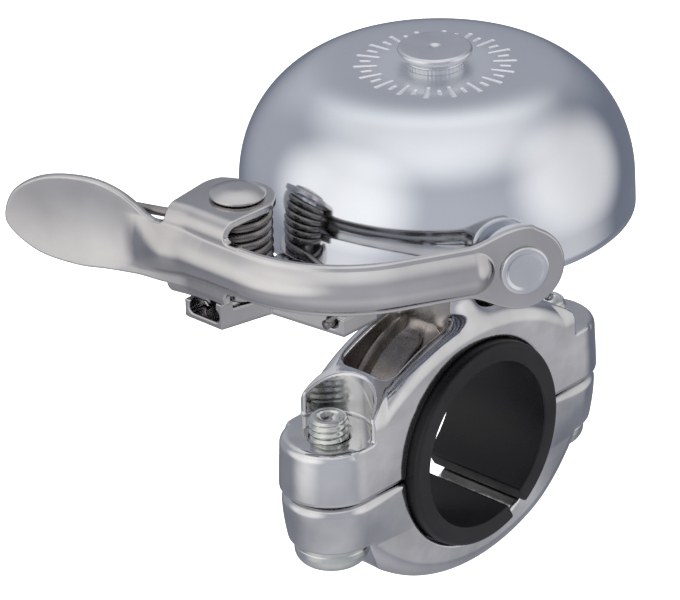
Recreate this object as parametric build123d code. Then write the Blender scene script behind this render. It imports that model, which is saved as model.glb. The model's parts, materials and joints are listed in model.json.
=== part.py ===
"""Bicycle bell with an external striker, clamped to a round handlebar.

Millimetres. +X runs along the handlebar, +Z is up along the axis of the gong, and the
origin is on the axis of the handlebar, halfway along the clamp.
"""
import os
from math import cos, radians, sin

from build123d import *

# ---- handlebar clamp ------------------------------------------------------------------
BAR_R = 12.7            # radius of the handlebar that the sleeve grips
CLAMP_BORE_R = 15.9     # bore of the closed clamp, filled by the sleeve
CLAMP_HALF_LENGTH = 7.5
SPLIT_HALF_GAP = 0.2    # half of the gap between the two clamp halves
BOSS_END_Y = 31.4       # how far the screw bosses reach from the bar axis
LAND_Z = 8.7            # flat on the upper boss, where the screw comes through
LOWER_BOSS_Z = -8.2     # flat on the lower boss, under the screw head
NECK_R = 5.0
NECK_TOP_Z = 31.5
POCKET_HALF_WIDTH = 4.7     # cored pockets in the upper half, on both sides of the neck
POCKET_SPAN_Y = (3.2, 16.2)
POCKET_SKIN = 1.6           # metal left between a pocket's floor and the bore
COUNTERBORE_R = 6.6         # round seats cut for the screws above and below

# ---- clamp screws ---------------------------------------------------------------------
BOLT_Y = 24.0
BOLT_R = 2.92
BOLT_TIP_Z = 11.6
BOLT_HEAD_R = 5.5
BOLT_HEAD_HEIGHT = 3.2
BOLT_WASHER_THICKNESS = 0.5
TAPPED_CLEARANCE = 0.08
LOWER_HOLE_R = 3.3

# ---- rubber sleeve --------------------------------------------------------------------
SLEEVE_HALF_LENGTH = 9.25
SLEEVE_LIP_R = 16.1
SLEEVE_SLIT_WIDTH = 3.0
SLEEVE_SLIT_ANGLE = -63.0   # polar angle of the slit about the bar axis, from +Y

# ---- gong -----------------------------------------------------------------------------
DOME_RIM_R = 28.5
DOME_RIM_Z = 36.94
DOME_TOP_Z = 58.3
DOME_WALL = 1.2
DOME_HOLE_R = 2.1
NUT_HEIGHT = 3.2
NUT_THREAD_R = 1.98

# ---- post under the gong --------------------------------------------------------------
POST_WASHER_TOP_Z = 33.7
POST_STUD_R = 2.45
POST_STUD_BOTTOM_Z = 21.5
HEXAGON_R = 5.2
HEXAGON_HEIGHT = 4.0
COLUMN_R = 3.5
FLANGE_R = 5.0
FLANGE_THICKNESS = 1.2
SEAT_R = 5.6
SEAT_THICKNESS = 1.9
TOP_STUD_R = 1.95

# ---- striker lever --------------------------------------------------------------------
PIN_X = -5.6
PIN_Y = -35.2
SHEET = 1.3             # thickness of the lever's sheet
ARM_Z = 42.3            # middle height of the lever
ARM_WIDTH = 7.6
WALL_Y = -43.5          # outer face of the lever beside the pivot
NECK_X = -16.2          # crease between the thumb paddle and the arm
NECK_Y = -45.0
PADDLE_ANGLE = 17.0     # slope of the paddle in plan
EAR_ANGLE = -28.1       # polar angle of the striker about the gong's axis
EAR_FACE_R = 34.4       # distance of the ear's outer face from the gong's axis
EAR_R = 6.1
EAR_Z = 41.6
ARM_BEND_R = 21.5
RIB_BULGE = 2.0
FLAP_R = 5.3
FLAP_TOP_Z = 48.8
FLAP_BOTTOM_Z = 34.9
FLAP_SHEET = 1.2
STOP_X = -4.2           # edge of the lower flap that stops against the bracket
STRIKER_R = 5.4
STRIKER_LENGTH = 3.0
RIVET_R = 1.9
RIVET_HOLE_R = 2.0
RIVET_HEAD_R = 3.6
RIVET_HEAD_HEIGHT = 0.75
RIVET_DISH_R = 2.4

# ---- pivot and spring -----------------------------------------------------------------
PIN_R = 2.0
PIN_HEAD_R = 4.05
PIN_HEAD_HEIGHT = 1.4
PIN_FOOT_R = 3.0
PIN_FOOT_HEIGHT = 0.9
BUSH_R = 2.7
BUSH_CLEARANCE = 0.06
SPACER_R = 2.5
SPRING_WASHER_R = 4.6
PRESS = 0.02            # slack of the rings that sit on the pin or on the bush
SPRING_MEAN_R = 4.15
WIRE_R = 0.72
SPRING_COILS = 7
SPRING_BOTTOM_Z = 36.95
SPRING_PITCH = 1.5
SPRING_KNEE = (-12.2, -41.5)    # where the upper leg turns to lie along the lever
SPRING_END = (-18.4, -42.9)

# ---- bracket --------------------------------------------------------------------------
BRACKET_Z = 31.5
BRACKET_SHEET = 1.2
BRACKET_WALL_TOP = 35.8  # right wall at the mouth, where the lever comes to rest
BRACKET_LOW_TOP = 34.6   # walls under the lever's lower flap
MOUTH_Y = -42.6
LEG_HOLE = (10.1, 33.7)     # x and z of the hole for the fixed leg of the spring

EAR_NORMAL = Vector(cos(radians(EAR_ANGLE)), sin(radians(EAR_ANGLE)), 0)
EAR_ALONG = Vector(-EAR_NORMAL.Y, EAR_NORMAL.X, 0)
EAR_FACE = EAR_NORMAL * EAR_FACE_R + Vector(0, 0, EAR_Z)


def cylinder(x, y, bottom, top, radius):
    """Upright cylinder between two heights."""
    height = top - bottom
    return Pos(x, y, bottom + height / 2) * Cylinder(radius, height)


def ring(x, y, bottom, top, outer, inner):
    """Upright tube between two heights."""
    bore = cylinder(x, y, bottom - 1, top + 1, inner)
    return cylinder(x, y, bottom, top, outer) - bore


def block(x_range, y_range, z_range):
    """Box from its limits on each axis."""
    size = [high - low for low, high in (x_range, y_range, z_range)]
    middle = [(high + low) / 2 for low, high in (x_range, y_range, z_range)]
    return Pos(*middle) * Box(*size)


def bar_cylinder(radius, half_length):
    """Cylinder along the handlebar."""
    return Rot(0, 90, 0) * Cylinder(radius, 2 * half_length)


# ---- gong and what carries it ---------------------------------------------------------
def dome_curve(inset):
    """Half section of the gong's surface, moved inwards by inset, from the rim to the axis."""
    rim_r = DOME_RIM_R - inset
    top_z = DOME_TOP_Z - inset
    points = [
        (rim_r, DOME_RIM_Z),
        (rim_r - 0.1, DOME_RIM_Z + 4.0),
        (rim_r - 1.2 - 0.1 * inset, DOME_RIM_Z + 10.0),
        (rim_r - 4.9 - 0.2 * inset, DOME_RIM_Z + 16.4 - 0.4 * inset),
        (rim_r - 12.3, top_z - 0.8),
        (6.5, top_z),
    ]
    curve = Spline(*points, tangents=[(0, 1), (-1, 0)])
    return curve + Line((6.5, top_z), (0, top_z))


def bell_dome():
    outer = dome_curve(0)
    inner = dome_curve(DOME_WALL)
    rim = Line((DOME_RIM_R, DOME_RIM_Z), (DOME_RIM_R - DOME_WALL, DOME_RIM_Z))
    axis = Line((0, DOME_TOP_Z), (0, DOME_TOP_Z - DOME_WALL))
    section = make_face(Plane.XZ * (outer + inner + rim + axis))
    shell = revolve(section, Axis.Z)
    return shell - cylinder(0, 0, DOME_TOP_Z - 5, DOME_TOP_Z + 5, DOME_HOLE_R)


def dome_nut():
    """Thumb nut: a bevelled cap over a groove and a narrower foot, blind thread from below."""
    bottom = DOME_TOP_Z
    top = bottom + NUT_HEIGHT
    profile = Polyline(
        (0, bottom), (4.3, bottom), (4.35, bottom + 1.3), (4.2, bottom + 1.5),
        (5.3, bottom + 2.2), (5.45, bottom + 2.8), (5.1, top), (0, top), (0, bottom),
    )
    nut = revolve(make_face(Plane.XZ * profile), Axis.Z)
    nut -= cylinder(0, 0, bottom - 1, bottom + 2.3, NUT_THREAD_R)
    dimple = Pos(0, 0, top + 2.8) * Sphere(3.0)
    return nut - dimple


def dome_post():
    """Turned post: stud into the clamp's neck, hexagon, column, seat and top stud."""
    seat_z = DOME_TOP_Z - DOME_WALL - SEAT_THICKNESS
    flange_z = seat_z - FLANGE_THICKNESS
    column_z = POST_WASHER_TOP_Z + HEXAGON_HEIGHT
    post = cylinder(0, 0, POST_STUD_BOTTOM_Z, POST_WASHER_TOP_Z + 0.3, POST_STUD_R)
    post += Pos(0, 0, POST_WASHER_TOP_Z) * extrude(RegularPolygon(HEXAGON_R, 6), HEXAGON_HEIGHT)
    post += cylinder(0, 0, column_z, flange_z, COLUMN_R)
    post += cylinder(0, 0, flange_z, seat_z, FLANGE_R)
    return post + cylinder(0, 0, seat_z, DOME_TOP_Z + 2.2, TOP_STUD_R)


def dome_seat():
    """Shouldered bush that the gong sits on and is centred by."""
    top = DOME_TOP_Z - DOME_WALL
    return ring(0, 0, top - SEAT_THICKNESS, top, SEAT_R, TOP_STUD_R + PRESS)


def post_washer():
    return ring(0, 0, BRACKET_Z + BRACKET_SHEET, POST_WASHER_TOP_Z, FLANGE_R, 2.6)


# ---- bracket --------------------------------------------------------------------------
def bracket_outline():
    """Plan of the bracket: channel mouth, side tab for the spring, round end at the post."""
    outline = Polyline(
        (-9.4, MOUTH_Y), (-2.4, MOUTH_Y), (-0.4, -34.6), (12.2, -33.3), (12.2, -26.6),
        (6.9, -2.0), (-6.9, -2.0), (-9.4, -30.0), (-9.4, MOUTH_Y),
    )
    flat = make_face(outline)
    flat += Circle(6.95)
    return flat


def bracket():
    """Stamped pan, open at the channel's mouth and cut down round the post."""
    flat = bracket_outline()
    pan = Pos(0, 0, BRACKET_Z) * extrude(flat, BRACKET_WALL_TOP - BRACKET_Z)
    floor_edges = pan.faces().sort_by(Axis.Z)[0].edges()
    pan = fillet(floor_edges, 0.9)
    hollow = offset(flat, -BRACKET_SHEET)
    pan -= Pos(0, 0, BRACKET_Z + BRACKET_SHEET) * extrude(hollow, 10)
    pan -= block((-8.2, -3.6), (MOUTH_Y - 1, MOUTH_Y + 3), (BRACKET_Z + BRACKET_SHEET, 40))
    pan -= block((-20, -4), (-50, 0), (BRACKET_LOW_TOP, 40))
    pan -= block((-5, 20), (MOUTH_Y + 2.0, 0), (BRACKET_LOW_TOP, 40))
    pan -= block((-20, 20), (-14, 20), (BRACKET_Z + BRACKET_SHEET + 1.0, 40))
    pan -= cylinder(0, 0, 30, 40, 2.6)
    pan -= cylinder(PIN_X, PIN_Y, 30, 40, PIN_R)
    hole = Pos(LEG_HOLE[0], -33.5, LEG_HOLE[1]) * Rot(90, 0, 0) * Cylinder(0.95, 5)
    return pan - hole


# ---- pivot stack ----------------------------------------------------------------------
def pivot_pin():
    """Rivet: low domed head above the lever, shank, and a closed button under the bracket."""
    head_z = FLAP_TOP_Z + 0.1
    crown = PIN_HEAD_HEIGHT - 0.5
    ball_r = (PIN_HEAD_R ** 2 + crown ** 2) / (2 * crown)
    head = cylinder(PIN_X, PIN_Y, head_z, head_z + PIN_HEAD_HEIGHT, PIN_HEAD_R)
    head &= Pos(PIN_X, PIN_Y, head_z + PIN_HEAD_HEIGHT - ball_r) * Sphere(ball_r)
    shank = cylinder(PIN_X, PIN_Y, BRACKET_Z - 0.5, head_z + 0.2, PIN_R)
    foot = cylinder(PIN_X, PIN_Y, BRACKET_Z - PIN_FOOT_HEIGHT, BRACKET_Z, PIN_FOOT_R)
    return head + shank + foot


def pivot_spacer():
    bottom = BRACKET_Z + BRACKET_SHEET
    return ring(PIN_X, PIN_Y, bottom, FLAP_BOTTOM_Z - 0.1, SPACER_R, PIN_R + PRESS)


def pivot_bush():
    """Tube that the lever turns on and the spring sits round."""
    return ring(PIN_X, PIN_Y, FLAP_BOTTOM_Z - 0.1, FLAP_TOP_Z + 0.1, BUSH_R, PIN_R + PRESS)


def spring_washer():
    """Washer between the lever's lower flap and the spring."""
    bottom = FLAP_BOTTOM_Z + FLAP_SHEET + 0.1
    return ring(PIN_X, PIN_Y, bottom, bottom + 0.6, SPRING_WASHER_R, BUSH_R + PRESS)


def torsion_spring():
    """Close-wound return spring: rings for the coils, and its two legs."""
    profile = Sketch()
    for coil in range(SPRING_COILS):
        z = SPRING_BOTTOM_Z + WIRE_R + coil * SPRING_PITCH
        profile += Plane.XZ * Pos(SPRING_MEAN_R, z) * Circle(WIRE_R)
    web_low = SPRING_BOTTOM_Z + WIRE_R
    web_high = web_low + (SPRING_COILS - 1) * SPRING_PITCH
    web = Rectangle(0.7, web_high - web_low)
    profile += Plane.XZ * Pos(SPRING_MEAN_R, (web_low + web_high) / 2) * web
    coils = Pos(PIN_X, PIN_Y, 0) * revolve(profile, Axis.Z)

    low_y = PIN_Y + SPRING_MEAN_R
    low_leg = Polyline(
        (PIN_X, low_y, web_low), (PIN_X + 4.4, low_y, web_low),
        (LEG_HOLE[0], low_y, LEG_HOLE[1]), (LEG_HOLE[0], -34.8, LEG_HOLE[1]),
    )
    leave = radians(160.8)
    start = Vector(PIN_X + SPRING_MEAN_R * cos(leave), PIN_Y + SPRING_MEAN_R * sin(leave), web_high)
    start += Vector(sin(leave), -cos(leave), 0) * 0.4
    high_leg = Polyline(start, (*SPRING_KNEE, web_high), (*SPRING_END, web_high))
    spring = coils
    for leg in (low_leg, high_leg):
        spring += wire_along(leg)
    return spring


def wire_along(path):
    """Round wire along straight runs, with a ball at each corner."""
    wire = Part()
    for edge in path.edges():
        run = Plane(origin=edge @ 0, z_dir=edge % 0) * extrude(Circle(WIRE_R), edge.length)
        wire += run
        wire += Pos(*(edge @ 1)) * Sphere(WIRE_R)
    return wire


# ---- lever ----------------------------------------------------------------------------
def arm_path(start, radii, end_margin):
    """Plan of the arm's outer face, from the start points round one bend to the ear."""
    corner_to_ear = (EAR_FACE.Y - WALL_Y) / EAR_ALONG.Y
    corner = EAR_FACE - EAR_ALONG * corner_to_ear
    corner = Vector(corner.X, corner.Y, ARM_Z)
    end = EAR_FACE - EAR_ALONG * end_margin
    end = Vector(end.X, end.Y, ARM_Z)
    return FilletPolyline(*start, corner, end, radius=radii)


def section_plane(path):
    """Plane across the start of a path: x points outwards from the gong, y points up."""
    along = path % 0
    outwards = Vector(along.Y, -along.X, 0)
    return Plane(origin=path @ 0, x_dir=outwards, z_dir=outwards.cross(Vector(0, 0, 1)))


def arm():
    """Flat flanges of the arm and its raised rib, hollow behind."""
    neck = Vector(NECK_X, NECK_Y, ARM_Z)
    knee = Vector(-8.5, WALL_Y, ARM_Z)
    path = arm_path([neck, knee], [10.0, ARM_BEND_R], 2.0)
    strip_section = section_plane(path) * Pos(-SHEET / 2, 0) * Rectangle(SHEET, ARM_WIDTH)
    strip = sweep(strip_section, path)

    rib_path = arm_path([Vector(-12.0, WALL_Y, ARM_Z)], ARM_BEND_R, 5.4)
    half = ARM_WIDTH / 2 - 0.6
    outer = ThreePointArc((0, -half), (RIB_BULGE, 0), (0, half))
    groove_half = half - 0.9
    groove_low = (-SHEET - 0.1, -groove_half)
    groove_high = (-SHEET - 0.1, groove_half)
    inner = ThreePointArc(groove_low, (RIB_BULGE - SHEET, 0), groove_high)
    crest = make_face(outer + Line((0, -half), (0, half)))
    groove = make_face(inner + Line(groove_low, groove_high))
    rib = sweep(section_plane(rib_path) * crest, rib_path)
    hollow = sweep(section_plane(rib_path) * groove, rib_path)
    return strip + rib - hollow


def paddle():
    """Oval thumb pad in an upright plane, with a waist where it joins the arm."""
    slope = radians(PADDLE_ANGLE)
    along = Vector(cos(slope), sin(slope), 0)
    outwards = Vector(along.Y, -along.X, 0)
    face = Plane(origin=(NECK_X, NECK_Y, ARM_Z - 0.5), x_dir=along, z_dir=outwards)
    waist_low = (2.6, -4.2)
    waist_high = (2.6, 4.4)
    rim = Spline(
        waist_low, (-4.8, -4.8), (-9.6, -5.3), (-15.6, -4.4), (-19.9, -1.5), (-20.9, 0.9),
        (-19.2, 4.7), (-14.4, 7.7), (-7.8, 8.6), (-2.6, 7.7), waist_high,
    )
    return extrude(face * make_face(rim + Line(waist_high, waist_low)), -SHEET)


def pivot_fork():
    """Upright wall with a flap bent inwards above and below, both holed for the bush."""
    middle_z = (FLAP_TOP_Z + FLAP_BOTTOM_Z) / 2
    height = FLAP_TOP_Z - FLAP_BOTTOM_Z
    depth = 20.0
    outer = Pos(WALL_Y + depth / 2, middle_z) * RectangleRounded(depth, height, 2.4)
    inner = Pos(WALL_Y + FLAP_SHEET + depth / 2, middle_z)
    inner = inner * RectangleRounded(depth, height - 2 * FLAP_SHEET, 1.2)
    bend = extrude(Plane.YZ * (outer - inner), 40, both=True)
    front = WALL_Y - 0.1
    left = (-11.8, front)
    right = (-0.9, front)
    plan = make_face(Polyline(
        left, right, (PIN_X + FLAP_R, PIN_Y), (PIN_X - FLAP_R, PIN_Y), left,
    ))
    plan += Pos(PIN_X, PIN_Y) * Circle(FLAP_R)
    fork = bend & (Pos(0, 0, 30) * extrude(plan, 25))
    swept = block((STOP_X, 5), (front - 1, PIN_Y), (30, FLAP_BOTTOM_Z + FLAP_SHEET + 0.1))
    fork -= swept - cylinder(PIN_X, PIN_Y, 29, 40, FLAP_R)
    return fork - cylinder(PIN_X, PIN_Y, 30, 60, BUSH_R + BUSH_CLEARANCE)


def ear_disc(depth_from, depth_to, radius):
    """Disc square to the ear, from one depth behind its outer face to another."""
    plane = Plane(origin=EAR_FACE - EAR_NORMAL * depth_to, z_dir=EAR_NORMAL)
    return plane * extrude(Circle(radius), depth_to - depth_from)


def lever():
    sheet = arm() + paddle() + pivot_fork() + ear_disc(0, SHEET, EAR_R)
    return sheet - ear_disc(-1, SHEET + 1, RIVET_HOLE_R)


def striker():
    """Slug that hits the gong, with a hole for its rivet."""
    slug = ear_disc(SHEET, SHEET + STRIKER_LENGTH, STRIKER_R)
    slug = chamfer(slug.edges().filter_by(GeomType.CIRCLE), 0.4)
    return slug - ear_disc(0, SHEET + STRIKER_LENGTH - 0.9, RIVET_R + 0.08)


def striker_rivet():
    """Rivet through the ear into the slug, with a dished round head."""
    head = ear_disc(-RIVET_HEAD_HEIGHT, 0, RIVET_HEAD_R)
    dish = ear_disc(-1.0, -0.4, RIVET_DISH_R)
    return head - dish + ear_disc(-0.1, SHEET + STRIKER_LENGTH - 1.1, RIVET_R)


# ---- clamp ----------------------------------------------------------------------------
def stadium(height_range):
    """Plan of the clamp: straight sides with a half-round boss at each end."""
    low, high = height_range
    flat = SlotOverall(2 * BOSS_END_Y, 2 * CLAMP_HALF_LENGTH, rotation=90)
    return Pos(0, 0, low) * extrude(flat, high - low)


def side_profile(points, straight):
    """Half outline seen along the bar: straight runs at the boss, then a curve to the middle."""
    mirrored = [(-y, z) for y, z in reversed(points)]
    curve = Spline(*points, *mirrored[1:])
    left = Polyline(*straight, points[0])
    right = Polyline(*[(-y, z) for y, z in straight], mirrored[-1])
    base = Line(straight[0], (-straight[0][0], straight[0][1]))
    return extrude(Plane.YZ * make_face(curve + left + right + base), 10, both=True)


def upper_clamp():
    shoulder = [(-25.4, LAND_Z), (-20.9, 13.1), (-12.2, 17.8), (0, 20.0)]
    boss = [(-BOSS_END_Y, SPLIT_HALF_GAP), (-BOSS_END_Y, LAND_Z)]
    body = side_profile(shoulder, boss) & stadium((0, 40))
    pocket_floor = bar_cylinder(CLAMP_BORE_R + POCKET_SKIN, 20)
    for side in (-1, 1):
        body -= cylinder(0, side * BOLT_Y, LAND_Z, 40, COUNTERBORE_R)
        body -= cylinder(0, side * BOLT_Y, -5, 12, BOLT_R + TAPPED_CLEARANCE)
        near, far = sorted(side * end for end in POCKET_SPAN_Y)
        pocket = block((-POCKET_HALF_WIDTH, POCKET_HALF_WIDTH), (near, far), (8, 25))
        body -= pocket - pocket_floor
    body += cylinder(0, 0, 15, NECK_TOP_Z, NECK_R)
    body += Pos(0, 0, 20.2) * Cone(7.2, NECK_R, 5.0)
    body -= bar_cylinder(CLAMP_BORE_R, 20)
    return body - cylinder(0, 0, 21, 40, 2.5)


def lower_clamp():
    belly = [(-25.8, LOWER_BOSS_Z), (-21.6, -12.0), (-13.0, -17.8), (0, -20.6)]
    boss = [(-BOSS_END_Y, -SPLIT_HALF_GAP), (-BOSS_END_Y, LOWER_BOSS_Z)]
    body = side_profile(belly, boss) & stadium((-40, 0))
    for side in (-1, 1):
        body -= cylinder(0, side * BOLT_Y, -40, LOWER_BOSS_Z, COUNTERBORE_R)
        body -= cylinder(0, side * BOLT_Y, -40, 5, LOWER_HOLE_R)
    return body - bar_cylinder(CLAMP_BORE_R + 0.05, 20)


def bar_sleeve():
    """Rubber sleeve with a lip at each end and a slit that opens onto the lower half."""
    sleeve = bar_cylinder(CLAMP_BORE_R, SLEEVE_HALF_LENGTH)
    lips = bar_cylinder(SLEEVE_LIP_R, SLEEVE_HALF_LENGTH)
    lips -= bar_cylinder(SLEEVE_LIP_R + 1, CLAMP_HALF_LENGTH + 0.3)
    sleeve += lips
    sleeve -= bar_cylinder(BAR_R, 20)
    slit = Rot(SLEEVE_SLIT_ANGLE, 0, 0) * Pos(0, 15, 0) * Box(40, 8, SLEEVE_SLIT_WIDTH)
    return sleeve - slit


def clamp_bolt(side):
    """M6 pan-head screw, head down, cupped at its threaded end, with a cross recess."""
    y = side * BOLT_Y
    head_top = LOWER_BOSS_Z - BOLT_WASHER_THICKNESS
    head = cylinder(0, y, head_top - BOLT_HEAD_HEIGHT, head_top, BOLT_HEAD_R)
    head = fillet(head.faces().sort_by(Axis.Z)[0].edges(), 1.8)
    bolt = head + cylinder(0, y, head_top - 0.1, BOLT_TIP_Z, BOLT_R)
    bolt = chamfer(bolt.faces().sort_by(Axis.Z)[-1].edges(), 0.5)
    bolt -= Pos(0, y, BOLT_TIP_Z - 0.5) * Cone(0.2, 1.7, 1.2)
    for turn in (0, 90):
        recess = Rot(0, 0, turn) * Box(5.0, 1.1, 2.0)
        bolt -= Pos(0, y, head_top - BOLT_HEAD_HEIGHT + 0.9) * recess
    return bolt


def bolt_washer(side):
    top = LOWER_BOSS_Z
    return ring(0, side * BOLT_Y, top - BOLT_WASHER_THICKNESS, top, 5.6, BOLT_R + 0.05)


parts = {
    "bell_dome": bell_dome(),
    "dome_nut": dome_nut(),
    "dome_post": dome_post(),
    "dome_seat": dome_seat(),
    "post_washer": post_washer(),
    "bracket": bracket(),
    "pivot_pin": pivot_pin(),
    "pivot_spacer": pivot_spacer(),
    "pivot_bush": pivot_bush(),
    "spring_washer": spring_washer(),
    "torsion_spring": torsion_spring(),
    "lever": lever(),
    "striker": striker(),
    "striker_rivet": striker_rivet(),
    "upper_clamp": upper_clamp(),
    "lower_clamp": lower_clamp(),
    "bar_sleeve": bar_sleeve(),
    "clamp_bolt_left": clamp_bolt(-1),
    "clamp_bolt_right": clamp_bolt(1),
    "bolt_washer_left": bolt_washer(-1),
    "bolt_washer_right": bolt_washer(1),
}

os.makedirs("parts", exist_ok=True)
for name, shape in parts.items():
    export_step(shape, f"parts/{name}.step")
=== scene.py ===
"""Looks of a bicycle bell: detailed meshes, procedural materials and a plain pale studio."""

import json
from itertools import product
from math import atan2, cos, pi, radians, sin, tau

import bpy
import numpy as np
from mathutils import Matrix, Vector


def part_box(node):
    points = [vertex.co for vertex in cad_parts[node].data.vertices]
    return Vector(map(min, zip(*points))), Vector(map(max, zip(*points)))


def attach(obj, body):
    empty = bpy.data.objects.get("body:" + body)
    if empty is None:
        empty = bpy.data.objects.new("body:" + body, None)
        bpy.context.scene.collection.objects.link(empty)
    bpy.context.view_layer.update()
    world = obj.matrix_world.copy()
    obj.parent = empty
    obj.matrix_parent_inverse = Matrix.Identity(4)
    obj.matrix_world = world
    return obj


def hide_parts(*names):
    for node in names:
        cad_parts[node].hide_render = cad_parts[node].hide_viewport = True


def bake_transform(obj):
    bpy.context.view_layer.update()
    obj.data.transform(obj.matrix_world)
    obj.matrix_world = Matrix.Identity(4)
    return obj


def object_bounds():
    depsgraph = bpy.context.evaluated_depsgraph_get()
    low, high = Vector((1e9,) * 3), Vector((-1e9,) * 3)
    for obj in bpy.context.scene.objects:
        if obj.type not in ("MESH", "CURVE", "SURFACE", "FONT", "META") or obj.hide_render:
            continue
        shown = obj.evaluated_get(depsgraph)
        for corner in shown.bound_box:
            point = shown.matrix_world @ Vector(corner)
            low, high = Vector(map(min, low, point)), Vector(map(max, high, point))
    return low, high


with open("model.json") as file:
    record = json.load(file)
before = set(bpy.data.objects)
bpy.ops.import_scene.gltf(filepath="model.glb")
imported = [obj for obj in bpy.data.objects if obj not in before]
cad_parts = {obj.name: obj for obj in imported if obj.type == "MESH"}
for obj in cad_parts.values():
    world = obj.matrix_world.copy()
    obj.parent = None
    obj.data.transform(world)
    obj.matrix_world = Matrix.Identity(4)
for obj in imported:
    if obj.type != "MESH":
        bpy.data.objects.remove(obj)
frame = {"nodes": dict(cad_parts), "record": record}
cad_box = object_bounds()

MM = 0.001
DETAIL = 1.0


# ---- where the CAD says things are (millimetres) -------------
def node_box(node):
    """Lowest and highest corner of a CAD node, in millimetres."""
    low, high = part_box(node)
    return np.array(low) / MM, np.array(high) / MM


def node_middle(node):
    """Middle of a CAD node, in millimetres."""
    low, high = node_box(node)
    return (low + high) / 2


# ---- small mesh kit ------------------------------------------
def mesh_object(name, points, faces, normals=None):
    """Smooth mesh object from points in millimetres."""
    mesh = bpy.data.meshes.new(name)
    mesh.from_pydata((np.asarray(points) * MM).tolist(), [], [list(face) for face in faces])
    mesh.shade_smooth()
    if normals is not None:
        mesh.normals_split_custom_set_from_vertices(np.asarray(normals).tolist())
    piece = bpy.data.objects.new(name, mesh)
    bpy.context.scene.collection.objects.link(piece)
    return piece


def grid_faces(rows, columns):
    """Quads of a grid whose columns close on themselves."""
    faces = []
    for row in range(rows - 1):
        for column in range(columns):
            after = (column + 1) % columns
            a, b = row * columns + column, row * columns + after
            faces.append((a, b, b + columns, a + columns))
    return faces


# ---- solids from distance fields -----------------------------
def surface_net(field, low, high, step):
    """Closed quad mesh of a distance field's zero surface, drawn onto the surface.

    field takes arrays x, y, z that broadcast and gives distances, negative inside.
    """
    step = step * DETAIL
    axes = [np.arange(a - 2 * step, b + 3 * step, step, np.float32) for a, b in zip(low, high)]
    x, y, z = np.ix_(*axes)
    values = np.asarray(field(x, y, z), np.float32)
    values = np.broadcast_to(values, [len(axis) for axis in axes])
    inside = values < 0
    shape = np.array(values.shape) - 1
    total = np.zeros((*shape, 3), np.float32)
    count = np.zeros(shape, np.float32)
    near, far = slice(0, -1), slice(1, None)
    for axis, first, second in product(range(3), (0, 1), (0, 1)):
        b, c = (other for other in range(3) if other != axis)
        start = [near] * 3
        start[b], start[c] = (near, far)[first], (near, far)[second]
        end = list(start)
        end[axis] = far
        start, end = tuple(start), tuple(end)
        crossing = inside[start] != inside[end]
        v0, v1 = values[start][crossing], values[end][crossing]
        total[crossing, axis] += v0 / (v0 - v1)
        total[crossing, b] += first
        total[crossing, c] += second
        count += crossing
    used = count > 0
    index = np.full(shape, -1, np.int64)
    index[used] = np.arange(used.sum())
    cells = np.argwhere(used)
    origin = np.array([axis[0] for axis in axes])
    points = origin + step * (cells + total[used] / count[used][:, None])
    faces = []
    for axis in range(3):
        b, c = (axis + 1) % 3, (axis + 2) % 3
        start = [slice(1, -1)] * 3
        start[axis] = slice(0, -1)
        end = list(start)
        end[axis] = slice(1, None)
        crossing = inside[tuple(start)] != inside[tuple(end)]
        place = np.argwhere(crossing)
        place[:, b] += 1
        place[:, c] += 1
        flipped = inside[tuple(start)][crossing]
        quad = []
        for back_b, back_c in ((1, 1), (0, 1), (0, 0), (1, 0)):
            cell = place.copy()
            cell[:, b] -= back_b
            cell[:, c] -= back_c
            quad.append(index[tuple(cell.T)])
        quad = np.stack(quad, 1)
        quad[~flipped] = quad[~flipped][:, ::-1]
        faces.append(quad)
    for _ in range(3):
        points, normals = drawn_to_surface(field, points, step)
    return points, np.concatenate(faces), normals


def drawn_to_surface(field, points, step):
    """One Newton step onto the zero surface, and the field's direction there."""
    h = 0.02
    x, y, z = points.T
    slope = np.stack([
        field(x + h, y, z) - field(x - h, y, z),
        field(x, y + h, z) - field(x, y - h, z),
        field(x, y, z + h) - field(x, y, z - h),
    ], 1) / (2 * h)
    size = np.linalg.norm(slope, axis=1)
    size = np.maximum(size, 0.3)
    direction = slope / size[:, None]
    move = np.clip(field(x, y, z) / size, -0.5 * step, 0.5 * step)
    return points - direction * move[:, None], direction


def solid(name, field, low, high, step):
    """Mesh object of a distance field."""
    points, faces, normals = surface_net(field, low, high, step)
    return mesh_object(name, points, faces, normals)


def meet(a, b, r):
    """Intersection of two fields, its edge rounded to radius r, a number or a field."""
    corner = np.hypot(np.maximum(a + r, 0), np.maximum(b + r, 0))
    return np.minimum(np.maximum(a, b), -r) + corner


def join(a, b, r):
    """Union of two fields, with a fillet of radius r between them."""
    return -meet(-a, -b, r)


def cut(a, b, r):
    """Field a less field b, its edge rounded to radius r."""
    return meet(a, -b, r)


def slab(value, low, high):
    """Endless slab between two values."""
    return np.maximum(low - value, value - high)


def eased(value, start, end):
    """Smooth step from 0 at start to 1 at end."""
    share = np.clip((value - start) / (end - start), 0, 1)
    return share * share * (3 - 2 * share)


def upright(x, y, centre, radius):
    """Endless upright cylinder."""
    return np.hypot(x - centre[0], y - centre[1]) - radius


def capsule_2d(x, y, half, radius):
    """Straight-sided outline with round ends, along y."""
    return np.hypot(x, np.maximum(np.abs(y) - half, 0)) - radius


def round_box_2d(a, b, half_a, half_b, radius):
    """Rectangle with rounded corners."""
    qa = np.abs(a) - half_a + radius
    qb = np.abs(b) - half_b + radius
    outside = np.hypot(np.maximum(qa, 0), np.maximum(qb, 0))
    return outside + np.minimum(np.maximum(qa, qb), 0) - radius


def segment_distance(x, y, start, end):
    """Distance to a straight run in a plane."""
    dx, dy = end[0] - start[0], end[1] - start[1]
    share = ((x - start[0]) * dx + (y - start[1]) * dy) / (dx * dx + dy * dy)
    share = np.clip(share, 0, 1)
    return np.hypot(x - start[0] - share * dx, y - start[1] - share * dy)


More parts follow.
